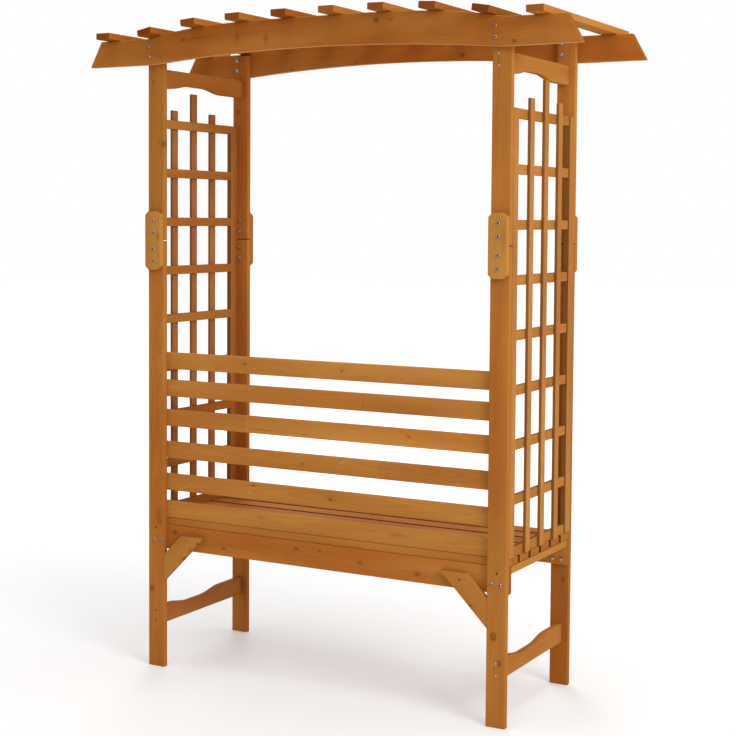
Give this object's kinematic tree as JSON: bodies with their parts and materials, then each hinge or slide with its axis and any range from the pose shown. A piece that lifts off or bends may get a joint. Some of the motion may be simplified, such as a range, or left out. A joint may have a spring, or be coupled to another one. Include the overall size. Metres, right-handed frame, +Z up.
{
  "type": "arbour seat",
  "caption": "Timber arbour seat: a slatted bench and backrest under an arched slatted roof, with open trellis ends, knee braces and spliced posts.",
  "frame": {"origin": "on the ground, in the middle of the object's box", "axes": "+X along the bench towards the right-hand end as seen from behind the backrest, +Y from the backrest towards the open front, +Z up"},
  "size_m": [1.666, 0.668, 2.0363],
  "materials": {
    "post_timber": "honey-brown stained softwood, satin",
    "roof_timber": "honey-brown stained softwood, satin",
    "seat_timber": "honey-brown stained softwood, satin",
    "trellis_timber": "honey-brown stained softwood laths, satin",
    "zinc_steel": "bright zinc plate"
  },
  "bodies": {
    "root": {"lower_post_rear_left": "post_timber", "lower_post_rear_right": "post_timber", "lower_post_front_left": "post_timber", "lower_post_front_right": "post_timber", "upper_post_rear_left": "post_timber", "upper_post_rear_right": "post_timber", "upper_post_front_left": "post_timber", "upper_post_front_right": "post_timber", "splice_plate_rear_left": "post_timber", "splice_plate_rear_right": "post_timber", "splice_plate_front_left": "post_timber", "splice_plate_front_right": "post_timber", "roof_beam_rear": "roof_timber", "roof_beam_front": "roof_timber", "roof_slat_1": "roof_timber", "roof_slat_2": "roof_timber", "roof_slat_3": "roof_timber", "roof_slat_4": "roof_timber", "roof_slat_5": "roof_timber", "roof_slat_6": "roof_timber", "roof_slat_7": "roof_timber", "roof_slat_8": "roof_timber", "roof_slat_9": "roof_timber", "roof_slat_10": "roof_timber", "top_rail_left": "post_timber", "top_rail_right": "post_timber", "stretcher_left": "post_timber", "stretcher_right": "post_timber", "apron_rear": "seat_timber", "apron_front": "seat_timber", "seat_batten_left": "seat_timber", "seat_bearer_middle": "seat_timber", "seat_batten_right": "seat_timber", "seat_slat_1": "seat_timber", "seat_slat_2": "seat_timber", "seat_slat_3": "seat_timber", "seat_slat_4": "seat_timber", "seat_slat_5": "seat_timber", "seat_slat_6": "seat_timber", "back_slat_1": "seat_timber", "back_slat_2": "seat_timber", "back_slat_3": "seat_timber", "back_slat_4": "seat_timber", "back_slat_5": "seat_timber", "back_slat_6": "seat_timber", "knee_brace_left": "post_timber", "knee_brace_right": "post_timber", "trellis_frame_left": "trellis_timber", "trellis_frame_right": "trellis_timber", "trellis_lath_left_rear": "trellis_timber", "trellis_lath_left_middle": "trellis_timber", "trellis_lath_left_front": "trellis_timber", "trellis_lath_right_rear": "trellis_timber", "trellis_lath_right_middle": "trellis_timber", "trellis_lath_right_front": "trellis_timber"}
  },
  "joints": []
}
